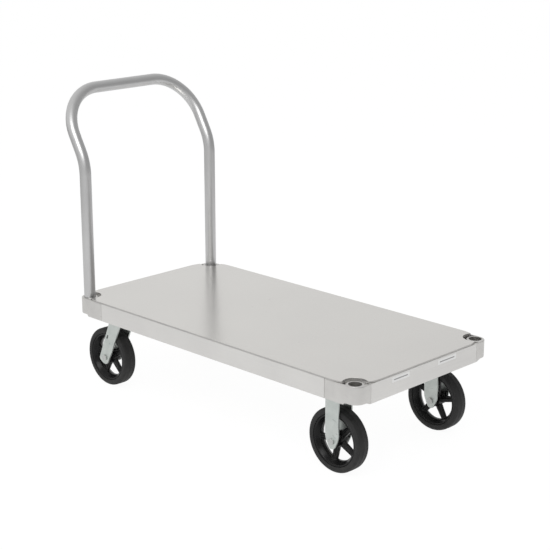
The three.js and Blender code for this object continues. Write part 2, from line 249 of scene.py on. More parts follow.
def node(tree, kind, **settings):
    made = tree.nodes.new(kind)
    for key, value in settings.items():
        setattr(made, key, value)
    return made


def math_node(tree, operation, first, second=None, clamp=False):
    made = node(tree, "ShaderNodeMath", operation=operation, use_clamp=clamp)
    for socket, value in zip(made.inputs, (first, second)):
        if value is None:
            continue
        if isinstance(value, (int, float)):
            socket.default_value = value
        else:
            tree.links.new(value, socket)
    return made.outputs[0]


def map_range(tree, value, low, high, to_low=0.0, to_high=1.0):
    made = node(tree, "ShaderNodeMapRange")
    tree.links.new(value, made.inputs["Value"])
    made.inputs["From Min"].default_value = low
    made.inputs["From Max"].default_value = high
    made.inputs["To Min"].default_value = to_low
    made.inputs["To Max"].default_value = to_high
    return made.outputs["Result"]


# %% Directional grain
def build_grain():
    """Fine streaks: noise stretched along the way that the metal was drawn or rolled."""
    tree, inside, outside = new_group(
        "directional_grain",
        [("Vector", "NodeSocketVector", (0, 0, 0)), ("Stretch", "NodeSocketVector", (4, 900, 900)),
         ("Roughness", "NodeSocketFloat", 0.6)],
        [("Grain", "NodeSocketFloat"), ("Streak", "NodeSocketFloat")])
    scaled = node(tree, "ShaderNodeVectorMath", operation="MULTIPLY")
    tree.links.new(inside.outputs["Vector"], scaled.inputs[0])
    tree.links.new(inside.outputs["Stretch"], scaled.inputs[1])
    fine = node(tree, "ShaderNodeTexNoise")
    fine.inputs["Scale"].default_value = 1
    fine.inputs["Detail"].default_value = 3
    tree.links.new(scaled.outputs[0], fine.inputs["Vector"])
    tree.links.new(inside.outputs["Roughness"], fine.inputs["Roughness"])
    coarse = node(tree, "ShaderNodeTexNoise")
    coarse.inputs["Scale"].default_value = 0.12
    coarse.inputs["Detail"].default_value = 2
    tree.links.new(scaled.outputs[0], coarse.inputs["Vector"])
    tree.links.new(fine.outputs["Fac"], outside.inputs["Grain"])
    tree.links.new(coarse.outputs["Fac"], outside.inputs["Streak"])
    return tree


grain_group = build_grain()


# %% Cloudy patches
def build_clouds():
    """Soft patches, and a few small marks from handling, each as a mask."""
    tree, inside, outside = new_group(
        "cloudy_patches",
        [("Vector", "NodeSocketVector", (0, 0, 0)), ("Patch Scale", "NodeSocketFloat", 6.0),
         ("Mark Scale", "NodeSocketFloat", 40.0)],
        [("Patches", "NodeSocketFloat"), ("Marks", "NodeSocketFloat")])
    patch = node(tree, "ShaderNodeTexNoise")
    patch.inputs["Detail"].default_value = 4
    tree.links.new(inside.outputs["Vector"], patch.inputs["Vector"])
    tree.links.new(inside.outputs["Patch Scale"], patch.inputs["Scale"])
    mark = node(tree, "ShaderNodeTexNoise")
    mark.inputs["Detail"].default_value = 5
    mark.inputs["Roughness"].default_value = 0.7
    mark.inputs["Distortion"].default_value = 1.2
    tree.links.new(inside.outputs["Vector"], mark.inputs["Vector"])
    tree.links.new(inside.outputs["Mark Scale"], mark.inputs["Scale"])
    tree.links.new(map_range(tree, patch.outputs["Fac"], 0.35, 0.65), outside.inputs["Patches"])
    tree.links.new(map_range(tree, mark.outputs["Fac"], 0.62, 0.72), outside.inputs["Marks"])
    return tree


cloud_group = build_clouds()


# %% Floor dust
def build_dust():
    """Dust that thins out with height above the floor and gathers in patches."""
    tree, inside, outside = new_group(
        "floor_dust",
        [("Vector", "NodeSocketVector", (0, 0, 0)), ("Height", "NodeSocketFloat", 0.2),
         ("Amount", "NodeSocketFloat", 0.5)],
        [("Dust", "NodeSocketFloat")])
    split = node(tree, "ShaderNodeSeparateXYZ")
    tree.links.new(inside.outputs["Vector"], split.inputs[0])
    level = math_node(tree, "DIVIDE", split.outputs["Z"], inside.outputs["Height"])
    low_down = math_node(tree, "SUBTRACT", 1.0, level, clamp=True)
    patch = node(tree, "ShaderNodeTexNoise")
    patch.inputs["Scale"].default_value = 55
    patch.inputs["Detail"].default_value = 6
    patch.inputs["Roughness"].default_value = 0.65
    tree.links.new(inside.outputs["Vector"], patch.inputs["Vector"])
    patches = map_range(tree, patch.outputs["Fac"], 0.4, 0.75)
    dust = math_node(tree, "MULTIPLY", low_down, patches)
    settled = math_node(tree, "MULTIPLY", dust, inside.outputs["Amount"], clamp=True)
    tree.links.new(settled, outside.inputs["Dust"])
    return tree


dust_group = build_dust()


# %% [markdown]
# ## Materials
# Each finish starts from the same plain body: a Principled shader whose colour, roughness and bump come from
# the groups above. A short recipe per finish says how strong each effect is. Bump distances are in metres
# and stay tiny, because these are rolled, drawn and cast surfaces and not carved ones.

# %% Material builder
def placed_group(tree, group, vector, **values):
    made = node(tree, "ShaderNodeGroup", node_tree=group)
    tree.links.new(vector, made.inputs["Vector"])
    for label, value in values.items():
        made.inputs[label.replace("_", " ")].default_value = value
    return made


def mix_colour(tree, factor, first, second):
    made = node(tree, "ShaderNodeMix", data_type="RGBA")
    tree.links.new(factor, made.inputs["Factor"])
    for socket, value in ((made.inputs[6], first), (made.inputs[7], second)):
        if isinstance(value, tuple):
            socket.default_value = (*value, 1)
        else:
            tree.links.new(value, socket)
    return made.outputs[2]


dust_colour = (0.3, 0.28, 0.25)


def bumped_normal(tree, height):
    bump = node(tree, "ShaderNodeBump")
    bump.inputs["Strength"].default_value = 0.6
    bump.inputs["Distance"].default_value = 1.0
    tree.links.new(height, bump.inputs["Height"])
    return bump.outputs["Normal"]


def surface(name, colour, shade, roughness, metallic=1.0, specular=0.5, rough_spread=0.08,
            grain=(4, 900, 900), grain_attribute=None, grain_bump=0.0, patch_scale=6.0, mark_scale=40.0,
            mark_shade=None, pebble=0.0, pebble_scale=900.0, dust=0.0, dust_height=0.25):
    """A metal, enamel or rubber finish. shade is the second colour that the patches and streaks lean to."""
    material = bpy.data.materials.new(name)
    material.use_nodes = True
    tree = material.node_tree
    shader = tree.nodes["Principled BSDF"]
    shader.inputs["Metallic"].default_value = metallic
    shader.inputs["Specular IOR Level"].default_value = specular
    place = node(tree, "ShaderNodeTexCoord").outputs["Object"]
    grain_place = place
    if grain_attribute:
        grain_place = node(tree, "ShaderNodeAttribute", attribute_name=grain_attribute).outputs["Vector"]
    streaks = placed_group(tree, grain_group, grain_place, Stretch=grain)
    clouds = placed_group(tree, cloud_group, place, Patch_Scale=patch_scale, Mark_Scale=mark_scale)
    lean = math_node(tree, "MULTIPLY", clouds.outputs["Patches"], 0.55)
    lean = math_node(tree, "ADD", lean, math_node(tree, "MULTIPLY", streaks.outputs["Streak"], 0.45))
    tone = mix_colour(tree, lean, colour, shade)
    rough = map_range(tree, streaks.outputs["Grain"], 0.3, 0.7,
                      roughness - rough_spread, roughness + rough_spread)
    if mark_shade:
        tone = mix_colour(tree, clouds.outputs["Marks"], tone, mark_shade)
        rough = math_node(tree, "ADD", rough, math_node(tree, "MULTIPLY", clouds.outputs["Marks"], 0.12))
    if dust:
        dusty = placed_group(tree, dust_group, place, Height=dust_height, Amount=dust).outputs["Dust"]
        tone = mix_colour(tree, dusty, tone, dust_colour)
        rough = math_node(tree, "ADD", rough, math_node(tree, "MULTIPLY", dusty, 0.4))
        if metallic:
            bare = map_range(tree, dusty, 0.0, 1.0, metallic, 0.0)
            tree.links.new(bare, shader.inputs["Metallic"])
    tree.links.new(tone, shader.inputs["Base Color"])
    tree.links.new(rough, shader.inputs["Roughness"])
    height = math_node(tree, "MULTIPLY", streaks.outputs["Grain"], grain_bump)
    if pebble:
        grit = node(tree, "ShaderNodeTexNoise")
        grit.inputs["Scale"].default_value = pebble_scale
        grit.inputs["Detail"].default_value = 3
        tree.links.new(place, grit.inputs["Vector"])
        height = math_node(tree, "ADD", height, math_node(tree, "MULTIPLY", grit.outputs["Fac"], pebble))
    tree.links.new(bumped_normal(tree, height), shader.inputs["Normal"])
    return material


# %% The aluminium finishes
sheet_finish = surface("rolled_sheet", (0.80, 0.785, 0.755), (0.77, 0.755, 0.73), roughness=0.22,
                       grain=(3, 700, 700), grain_bump=3e-6, patch_scale=3.0, mark_scale=60,
                       mark_shade=(0.72, 0.71, 0.69), rough_spread=0.03)
# The sheared edge's rough grain is its own; its darker colour is painted shade, standing in for the shadow
# line between the sheet and the rail.
edge_painted_shade_finish = surface("sheared_edge_painted_shade", (0.60, 0.59, 0.575), (0.51, 0.50, 0.49), roughness=0.5,
                         grain=(900, 900, 30), grain_bump=3e-5, patch_scale=30.0)
rail_finish = surface("extruded_rail", (0.80, 0.79, 0.77), (0.74, 0.73, 0.715), roughness=0.42,
                      grain=(5, 1200, 1200), grain_bump=3e-5, patch_scale=5.0)
end_rail_finish = surface("extruded_end_rail", (0.80, 0.79, 0.77), (0.74, 0.73, 0.715), roughness=0.42,
                          grain=(1200, 5, 1200), grain_bump=3e-5, patch_scale=5.0)
cast_finish = surface("sand_cast", (0.70, 0.69, 0.67), (0.62, 0.61, 0.595), roughness=0.36,
                      grain=(300, 300, 300), patch_scale=22.0, pebble=4e-5, pebble_scale=700,
                      mark_shade=(0.55, 0.54, 0.53))
tube_finish = surface("drawn_tube", (0.67, 0.67, 0.67), (0.60, 0.60, 0.60), roughness=0.38,
                      grain=(3, 800, 1), grain_attribute="along_tube", grain_bump=4e-6, patch_scale=8.0,
                      rough_spread=0.04)

# %% The caster and wheel finishes
zinc_finish = surface("zinc_plate", (0.67, 0.70, 0.675), (0.56, 0.60, 0.58), roughness=0.45,
                      grain=(250, 250, 250), patch_scale=35.0, mark_shade=(0.38, 0.41, 0.40), pebble=2e-5,
                      dust=0.25)
bolt_finish = surface("bright_zinc", (0.60, 0.61, 0.60), (0.50, 0.51, 0.50), roughness=0.3,
                      grain=(500, 500, 500), patch_scale=80.0, pebble=1e-5, dust=0.2)
enamel_finish = surface("black_enamel", (0.004, 0.004, 0.0045), (0.007, 0.007, 0.0075), roughness=0.26,
                        metallic=0.0, grain=(200, 200, 200), patch_scale=30.0, pebble=3e-5, pebble_scale=450,
                        dust=0.03, rough_spread=0.05, specular=0.24)
rubber_finish = surface("moulded_rubber", (0.0155, 0.0155, 0.016), (0.020, 0.020, 0.020), roughness=0.6,
                        metallic=0.0, grain=(300, 300, 300), patch_scale=25.0, pebble=4e-5, pebble_scale=1200,
                        dust=0.07, dust_height=0.2, specular=0.35)
print("materials:", len(bpy.data.materials))

# %% [markdown]
# ## Two ways to start a piece
# Most plates here are cut from sheet or bar: a flat outline with rounded corners and one thickness. Most
# round parts are turned: a section swept once round an axis. Both start from a mesh circle whose points are
# moved to the corners of the outline, because that is quick to do by hand and leaves no stray points.

# %% Plates and turned parts
def outline(name, corners, rounded=(), steps=10):
    """A flat face through the corners; rounded lists (corner, length of the rounding)."""
    deselect()
    bpy.ops.mesh.primitive_circle_add(vertices=len(corners), radius=0.05, fill_type="NGON")
    face = added(name)
    for point, corner in zip(face.data.vertices, corners):
        point.co = corner
    for corner, length in rounded:
        place = Vector(corner)
        edit(face)
        pick(face, "verts", lambda middle, item: (middle - place).length < 1e-6)
        bpy.ops.mesh.bevel(offset=length, segments=steps, affect="VERTICES")
        done()
    return face


def plate(name, corners, thickness, rounded=(), steps=10):
    """An outline pushed out along the thickness."""
    piece = outline(name, corners, rounded, steps)
    edit(piece, "FACE")
    bpy.ops.mesh.select_all(action="SELECT")
    bpy.ops.mesh.extrude_region_move(TRANSFORM_OT_translate={"value": thickness})
    done()
    tidy_mesh(piece)
    return piece


def turned(name, section, axis, rounded=(), steps=96, rounding_steps=4, centre=(0, 0, 0)):
    """A closed section swept all the way round an axis."""
    piece = outline(name, section, rounded, rounding_steps)
    edit(piece, "FACE")
    bpy.ops.mesh.select_all(action="SELECT")
    bpy.ops.mesh.delete(type="ONLY_FACE")
    bpy.ops.mesh.select_mode(type="VERT")
    bpy.ops.mesh.select_all(action="SELECT")
    bpy.ops.mesh.spin(steps=steps, angle=2 * math.pi, center=centre, axis=axis)
    done()
    tidy_mesh(piece)
    return piece


def all_corners(corners, length):
    return [(corner, length) for corner in corners]


def rectangle(middle_x, half_x, half_y, height):
    """The corners of a level rectangle that lies evenly to both sides of y = 0."""
    signs = ((-1, -1), (1, -1), (1, 1), (-1, 1))
    return [(middle_x + x_sign * half_x, y_sign * half_y, height) for x_sign, y_sign in signs]


# %% [markdown]
# ## The bent handle
# The handle is one drawn tube, bent four times: a kink back above each leg, and a round bow at the top. A
# bender swings the tube round a former, and Blender's Spin does the same to a ring of points. So the tube
# starts as a circle at the foot of one leg and is walked round by extrude and spin, with Solidify at the end
# for its wall. Before the walk each point stores where it lies in the round section. New points inherit that
# value, so streaks drawn from it run along the tube through every bend.

# %% Handle tube
kink_angle = math.radians(29.6)
kink_radius = 160 * MM
kink_apex = deck_top + 452.8 * MM
kink_steps = 12
bow_radius = 154 * MM
bow_rise = 211 * MM
bow_steps = 26


def store_section_place(tube, centre):
    """Keeps each point's place in the round section, as an attribute that extrude and spin pass on."""
    store = tube.data.attributes.new("along_tube", "FLOAT_VECTOR", "POINT")
    for point in tube.data.vertices:
        store.data[point.index].vector = (0, point.co.x - centre.x, point.co.y - centre.y)


def push(direction, length):
    bpy.ops.mesh.extrude_region_move(TRANSFORM_OT_translate={"value": direction * length})


def swing(centre, axis, angle, steps):
    bpy.ops.mesh.spin(steps=steps, angle=-angle, center=centre, axis=axis)


def bent_handle():
    foot = Vector((deck_mid.x - socket_x, socket_y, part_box("handle_tube")[0].z))
    up, across = Vector((0, 0, 1)), Vector((0, -1, 0))
    tilted = Vector((-math.sin(kink_angle), 0, math.cos(kink_angle)))
    kink_tangent = kink_radius * math.tan(kink_angle / 2)
    leg_length = kink_apex - kink_tangent - foot.z
    kink_start = foot + up * leg_length
    kink_end = kink_start + up * kink_tangent + tilted * kink_tangent
    neck = bow_rise - bow_radius
    bow_start = kink_end + tilted * neck
    crossbar_length = 2 * (socket_y - bow_radius)
    far = across * 2 * socket_y
    kink_centre = kink_start + Vector((-kink_radius, 0, 0))
    bow_normal = tilted.cross(across)

    deselect()
    bpy.ops.mesh.primitive_circle_add(vertices=64, radius=tube_radius, location=foot)
    tube = added("bent_handle")
    store_section_place(tube, foot)
    edit(tube)
    bpy.ops.mesh.select_all(action="SELECT")
    push(up, leg_length)
    swing(kink_centre, (0, -1, 0), kink_angle, kink_steps)
    push(tilted, neck)
    swing(bow_start + across * bow_radius, bow_normal, math.pi / 2, bow_steps)
    push(across, crossbar_length)
    swing(bow_start + far - across * bow_radius, bow_normal, math.pi / 2, bow_steps)
    push(-tilted, neck)
    swing(kink_centre + far, (0, 1, 0), kink_angle, kink_steps)
    push(-up, leg_length)
    done()
    tidy_mesh(tube)
    apply_modifier(tube, "SOLIDIFY", thickness=tube_wall, offset=-1, use_even_offset=True)
    smooth_by_angle(tube, 40)
    settle(tube, "handle", tube_finish, "handle_tube", "handle_tube")
    return tube


handle = bent_handle()
print("handle top at", round(max(point.co.z for point in handle.data.vertices), 4), "rearmost",
      round(min(point.co.x for point in handle.data.vertices), 4))


# %% [markdown]
# ## The deck sheet
# One flat aluminium sheet with big round corners, and a round notch at each corner socket. It is a rectangle
# whose corner points are bevelled into arcs, pushed down by its thickness, and cut by four round bars. The
# sheared edge stands a little inside the rail under it, and its upright faces get a darker colour, which is
# painted shade: together they make the dark line that runs all round the deck.

# %% Deck sheet
edge_setback = 0.5 * MM
sheet_corner_radius = 100 * MM


def deck_sheet():
    corners = rectangle(deck_mid.x, deck_half_x - edge_setback, deck_half_y - edge_setback, deck_low.z)
    sheet = plate("deck_sheet", corners, (0, 0, sheet_thickness),
                  all_corners(corners, sheet_corner_radius - edge_setback), steps=24)
    for end_sign in ENDS.values():
        for side_sign in SIDES.values():
            place = Vector((deck_mid.x + end_sign * socket_x, side_sign * socket_y, deck_mid.z))
            reach = Vector((0, 0, 2 * sheet_thickness))
            cut(sheet, rod("notch", notch_radius, place - reach, place + reach, sides=96))
    smooth_by_angle(sheet)
    soften(sheet, 0.5 * MM, segments=3)
    settle(sheet, "deck", sheet_finish, "deck_sheet", "deck_plate")
    # The upright edge faces get the darker edge finish: painted shade for the dark line round the deck.
    sheet.data.materials.append(edge_painted_shade_finish)
    for face in sheet.data.polygons:
        if abs(face.normal.z) < 0.5:
            face.material_index = 1
    return sheet


sheet = deck_sheet()
print("deck sheet faces:", len(sheet.data.polygons))


# %% [markdown]
# ## Rails and cross members
# The rails and cross members are straight channel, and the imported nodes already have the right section. Real
# extrusions have small radii on every edge, and those radii carry the bright lines along the frame. So each
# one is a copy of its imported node, merged into clean faces, with its edges rounded.

# %% Rails and cross members
def channel_bar(node_name, finish, radius):
    bar = copied(nodes[node_name], f"{node_name}_bar")
    bar.hide_render = bar.hide_viewport = False
    tidy_mesh(bar)
    edit(bar)
    bpy.ops.mesh.select_all(action="SELECT")
    bpy.ops.mesh.dissolve_limited(angle_limit=math.radians(1))
    done()
    smooth_by_angle(bar)
    soften(bar, radius, segments=3)
    settle(bar, "deck", finish, "frame_rail", node_name)


for side in SIDES:
    channel_bar(f"side_rail_{side}", rail_finish, 1.2 * MM)
for end in ENDS:
    channel_bar(f"end_rail_{end}", end_rail_finish, 1.2 * MM)
    channel_bar(f"caster_channel_{end}", end_rail_finish, 1.0 * MM)
    channel_bar(f"centre_channel_{end}", end_rail_finish, 1.0 * MM)


# %% [markdown]
# ## Corner castings
# Each corner is a sand casting: a round-cornered skirt with two arms, flanges, and a boss with a blind bore
# that holds the handle leg or a post. It is built from cut blocks and bars, then voxel remeshed and smoothed,
# which melts every edge and inside corner together as a casting's fillets do. The bore is cut afterwards,
# because a machined bore is crisp where the casting round it is soft. One casting is made, and mirrored
# copies of it go to the other corners.

# %% Corner casting sizes
casting_low, casting_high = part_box("corner_socket_front_left")
casting_socket = Vector((deck_mid.x + socket_x, socket_y, 0))
casting_wall = 6 * MM
casting_corner = 33 * MM
casting_flange = 25 * MM
casting_voxel = 1.3 * MM
overshoot = 10 * MM
socket_floor = 12.5 * MM
boss_radius = 27 * MM
bore_radius = 20 * MM
drain_radius = 6 * MM
hem_lift = 6.5 * MM
hem_start_y = 3 * MM
hem_slope_x = 5 * MM
hem_slope_y = 16 * MM


# %% Corner casting pieces
def casting_skirt(low, high):
    """Two walls that meet in a round corner: a block with a smaller one cut out of its inner side."""
    outside = [(low.x, low.y, low.z), (high.x, low.y, low.z), (high.x, high.y, low.z), (low.x, high.y, low.z)]
    skirt = plate("corner_casting", outside, (0, 0, high.z - low.z), [(outside[2], casting_corner)], steps=16)
    in_x, in_y, under = high.x - casting_wall, high.y - casting_wall, low.z - overshoot
    open_x, open_y = low.x - overshoot, low.y - overshoot
    inside = [(open_x, open_y, under), (in_x, open_y, under), (in_x, in_y, under), (open_x, in_y, under)]
    inner_corner = casting_corner - casting_wall
    cut(skirt, plate("hollow", inside, (0, 0, 2 * REACH), [(inside[2], inner_corner)], steps=16))
    return skirt


def add_boss_and_flanges(casting, low, high):
    boss_foot = Vector((casting_socket.x, casting_socket.y, low.z + hem_lift))
    boss_top = Vector((casting_socket.x, casting_socket.y, high.z))
    join_solid(casting, rod("boss", boss_radius, boss_foot, boss_top, sides=72))
    flange_y, into_wall = high.y - casting_flange, high.y - casting_wall / 2
    boss_side = casting_socket.x - boss_radius
    join_solid(casting, block("bottom_flange", (low.x, flange_y, low.z),
                              (boss_side + casting_wall, into_wall, low.z + casting_wall)))
    join_solid(casting, block("top_flange", (low.x, flange_y, high.z - casting_wall),
                              (boss_side - 2 * casting_wall, into_wall, high.z)))


def raise_hem(casting, low, high):
    """Lifts the lower edge round the corner, with a slope at each end of the lifted stretch."""
    start_x = casting_socket.x - boss_radius + casting_wall
    lift = block("lift", (start_x, low.y + hem_start_y, low.z),
                 (high.x + overshoot, high.y + overshoot, low.z + hem_lift))
    edit(lift)
    pick(lift, "verts", lambda middle, item: middle.z > low.z + MM and middle.x < high.x)
    bpy.ops.transform.translate(value=(hem_slope_x, 0, 0))
    bpy.ops.mesh.select_all(action="DESELECT")
    pick(lift, "verts", lambda middle, item: middle.z > low.z + MM and middle.y < high.y)
    bpy.ops.transform.translate(value=(0, hem_slope_y, 0))
    done()
    lift.data.transform(Matrix.Translation((0, 0, -0.01 * MM)))
    cut(casting, lift)


def bore_socket(casting, low, high):
    x, y = casting_socket.x, casting_socket.y
    cut(casting, rod("bore", bore_radius, (x, y, low.z + socket_floor), (x, y, high.z + overshoot), sides=72))
    cut(casting, rod("drain", drain_radius, (x, y, low.z - overshoot), (x, y, high.z), sides=32))


# %% The casting put together
def corner_casting(low, high):
    casting = casting_skirt(low, high)
    add_boss_and_flanges(casting, low, high)
    raise_hem(casting, low, high)
    apply_modifier(casting, "REMESH", mode="VOXEL", voxel_size=casting_voxel)
    apply_modifier(casting, "SMOOTH", factor=0.5, iterations=6)
    bore_socket(casting, low, high)
    smooth_by_angle(casting, 40)
    return casting


def place_castings(pattern):
    for end, end_sign in ENDS.items():
        for side, side_sign in SIDES.items():
            middle = Matrix.Translation((deck_mid.x, 0, 0))
            turn = middle @ Matrix.Diagonal((end_sign, side_sign, 1, 1)) @ middle.inverted()
            casting = copied(pattern, f"corner_casting_{end}_{side}", turn)
            tidy_mesh(casting)
            settle(casting, "deck", cast_finish, "corner_casting", f"corner_socket_{end}_{side}")


casting_pattern = corner_casting(casting_low, casting_high)
print("casting faces:", len(casting_pattern.data.polygons))
place_castings(casting_pattern)
bpy.data.objects.remove(casting_pattern)


# %% [markdown]
# ## Rubber treads
# Each wheel is a rubber tread moulded on an iron core. The tread is a turned part: a flat crown, big round
# shoulders, a flat sidewall, and a small lip where the rubber ends against the iron. A fine parting line from
# the mould runs round the middle of the crown.

# %% Treads
tread_low, tread_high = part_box("tread_front_right")
tread_half = (tread_high.y - tread_low.y) / 2
tread_lip = 2 * MM
tread_shoulder = 9 * MM
parting_height = 0.35 * MM
parting_half = 1 * MM
core_rim_radius = 81 * MM


def rubber_tread():
    bore, side = core_rim_radius + 0.3 * MM, tread_half
    crown = wheel_radius - parting_height
    half = [(bore, side - tread_lip), (bore + tread_lip, side - tread_lip / 2), (bore + 2 * tread_lip, side),
            (crown, side), (crown, parting_half), (wheel_radius, parting_height)]
    section = [(radius, y, 0) for radius, y in half] + [(radius, -y, 0) for radius, y in reversed(half)]
    shoulders = [((crown, side, 0), tread_shoulder), ((crown, -side, 0), tread_shoulder)]
    tread = turned("rubber_tread", section, (0, 1, 0), shoulders, steps=128, rounding_steps=10)
    smooth_by_angle(tread, 30)
    return tread


tread_pattern = rubber_tread()
for wheel in WHEELS:
    tread = copied(tread_pattern, f"rubber_tread_{wheel}", Matrix.Translation(axle_of(wheel)))
    settle(tread, f"wheel_{wheel}", rubber_finish, "tread_rubber", f"tread_{wheel}")
bpy.data.objects.remove(tread_pattern)
print("treads:", len(WHEELS))


# %% [markdown]
# ## Iron wheel cores
# The core is cast iron under thick black enamel: a rim, a hub, and five spokes with a rib down each face. The
# rim and hub are turned, one spoke is modelled and copied round, and all are joined, voxel remeshed and
# smoothed, so that the spokes flow into the hub and rim as they do in a casting.

# %% Wheel core
spoke_turn = {"front_right": 10, "front_left": -30, "rear_right": 28, "rear_left": 50}
spoke_count = 5
rim_inner_radius = 66 * MM
rim_half = tread_half - 3 * MM
core_wall = 5 * MM
hub_radius = 23 * MM
hub_half = 24.5 * MM
hub_end_radius = hub_radius - 3 * MM
hub_straight_half = 14 * MM
hub_hole_radius = 8 * MM
bearing_bore_radius = 11.3 * MM
core_voxel = 1.25 * MM


def ring(name, half_section, **settings):
    """A turned ring, the same to both sides. half_section lists (radius, y), with y from high to low."""
    section = half_section + [(radius, -y) for radius, y in reversed(half_section)]
    return turned(name, [(radius, y, 0) for radius, y in section], (0, 1, 0), **settings)


def spoke_slab(name, root, tip, thickness):
    """A slab from hub to rim. root and tip are its near face's depth and half width at the two ends."""
    start, end = hub_radius - core_wall, rim_inner_radius + core_wall
    corners = [(start, -root[0], -root[1]), (end, -tip[0], -tip[1]), (end, -tip[0], tip[1]),
               (start, -root[0], root[1])]
    return plate(name, corners, (0, thickness, 0))


def cored_wheel():
    core = ring("iron_core", [(core_rim_radius, rim_half), (core_rim_radius - core_wall, rim_half),
                              (rim_inner_radius, core_wall)])
    join_solid(core, ring("hub", [(hub_hole_radius, hub_half), (hub_end_radius, hub_half),
                                  (hub_radius, hub_straight_half)], steps=64))
    web = spoke_slab("web", (5.5 * MM, 11 * MM), (5.5 * MM, 8 * MM), 11 * MM)
    rib = spoke_slab("rib", (10 * MM, 3 * MM), (8 * MM, 2.6 * MM), 18 * MM)
    for number in range(spoke_count):
        turn = Matrix.Rotation(math.tau * number / spoke_count + math.pi / 2, 4, "Y")
        for slab in (web, rib):
            join_solid(core, copied(slab, "slab_copy", turn))
    bpy.data.objects.remove(web)
    bpy.data.objects.remove(rib)
    apply_modifier(core, "REMESH", mode="VOXEL", voxel_size=core_voxel)
    apply_modifier(core, "SMOOTH", factor=0.5, iterations=8)
    cut(core, rod("bearing_bore", bearing_bore_radius, (0, -REACH, 0), (0, REACH, 0)))
    smooth_by_angle(core, 45)
    return core


core_pattern = cored_wheel()
print("core faces:", len(core_pattern.data.polygons))
for wheel in WHEELS:
    turn = Matrix.Rotation(math.radians(spoke_turn[wheel]), 4, "Y")
    core = copied(core_pattern, f"iron_core_{wheel}", Matrix.Translation(axle_of(wheel)) @ turn)
    settle(core, f"wheel_{wheel}", enamel_finish, "wheel_iron", f"wheel_core_{wheel}")
bpy.data.objects.remove(core_pattern)


# %% [markdown]
# ## Hex bolts, nuts and threads
# A forged hex head has its corners turned off at the end, which leaves the round chamfer that everyone
# recognises. The same is done here: a six-sided bar is kept only where it lies inside a round blank with
# bevelled ends. Where a thread shows past its nut it is a turned section with a row of ridges.

# %% Hex and thread
def hex_bar(name, radius, start, end, chamfer=1.2 * MM):
    """Both ends are chamfered, though an end that is seated or buried hides it."""
    head = rod(name, radius, start, end, sides=6)
    blank = rod("blank", radius * 0.99, start, end, sides=48)
    apply_modifier(blank, "BEVEL", width=chamfer, segments=1, limit_method="ANGLE",
                   angle_limit=math.radians(60))
    apply_modifier(head, "BOOLEAN", operation="INTERSECT", solver="EXACT", object=blank)
    bpy.data.objects.remove(blank)
    return head


def aim_up_axis(piece, start, direction):
    """Turns a piece that was made upwards from the origin to point along direction, and moves it to start."""
    piece.data.transform(Vector((0, 0, 1)).rotation_difference(Vector(direction)).to_matrix().to_4x4())
    piece.data.transform(Matrix.Translation(start))


def threaded_end(name, radius, start, length, direction, pitch=1.5 * MM):
    """A ridged stretch that begins at start, with a short cone at its tip."""
    depth = 0.35 * pitch
    section = [(0, 0, 0), (radius - depth, 0, 0)]
    for ridge in range(int(length / pitch) - 1):
        foot = (ridge + 0.5) * pitch
        section += [(radius, 0, foot), (radius - depth, 0, foot + pitch / 2)]
    section += [(radius - 2 * depth, 0, length), (0, 0, length)]
    thread = turned(name, section, (0, 0, 1), steps=40)
    aim_up_axis(thread, start, direction)
    return thread


# %% [markdown]
# ## Axle bolts and nuts
# Each wheel runs on a bolt right through the fork. Its low head is on one side, and on the other a nut with a
# bit of thread showing. One bolt and one nut are modelled about the axle, and copied to the four wheels.

# %% Axle bolts and nuts
axle_radius = 6 * MM
axle_head_radius = 10.5 * MM
axle_head_thickness = 4 * MM
nut_clearance = 0.3 * MM


def axle_fittings():
    """Pieces that are joined run 1 mm into each other, so that no faces lie in one plane."""
    axle = axle_of("front_right")
    head_low, bolt_high = (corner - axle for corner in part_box("axle_bolt_front_right"))
    nut_low, nut_high = (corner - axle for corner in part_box("axle_nut_front_right"))
    head_face = head_low.y + axle_head_thickness
    thread_length = bolt_high.y - nut_low.y
    bolt = hex_bar("axle_bolt", axle_head_radius, (0, head_low.y, 0), (0, head_face, 0))
    join_solid(bolt, rod("shank", axle_radius, (0, head_face - MM, 0), (0, nut_low.y + MM, 0), sides=48))
    join_solid(bolt, threaded_end("thread", axle_radius, (0, nut_low.y, 0), thread_length, (0, 1, 0)))
    smooth_by_angle(bolt, 30)
    nut = hex_bar("axle_nut", axle_head_radius, (0, nut_low.y, 0), (0, nut_high.y, 0))
    bore_start, bore_end = (0, nut_low.y - MM, 0), (0, nut_high.y + MM, 0)
    cut(nut, rod("nut_bore", axle_radius + nut_clearance, bore_start, bore_end, sides=48))
    smooth_by_angle(nut, 30)
    return bolt, nut


axle_bolt, axle_nut = axle_fittings()
for wheel in WHEELS:
    fork_body = "deck" if wheel.startswith("front") else "swivel_" + wheel.split("_")[1]
    for pattern, kind in ((axle_bolt, "axle_bolt"), (axle_nut, "axle_nut")):
        fitting = copied(pattern, f"{kind}_{wheel}_turned", Matrix.Translation(axle_of(wheel)))
        settle(fitting, fork_body, bolt_finish, "bolt_steel", f"{kind}_{wheel}")
for pattern in (axle_bolt, axle_nut):
    bpy.data.objects.remove(pattern)


# %% [markdown]
# ## Rigid casters
# The front casters can't turn. Each is a bolted plate with two straight legs welded under it. The legs taper
# below the axle to a narrow rounded tip. A leg is an outline with its corners bevelled by the length that
# each wants, pushed out by its thickness, with its axle hole bored and its edges broken.

# %% Rigid forks
fork_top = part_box("rigid_fork_front_right")[1].z
top_plate_thickness = 6 * MM
top_plate_half = Vector((57, 51, 0)) * MM
leg_inside = 26 * MM
leg_thickness = 5 * MM
top_plate_corner = 9 * MM
bolt_places = [Vector((sx * 46, sy * 33.5, 0)) * MM for sx in (1, -1) for sy in (1, -1)]
bolt_hole_radius = 5.6 * MM
axle_clearance = 0.5 * MM


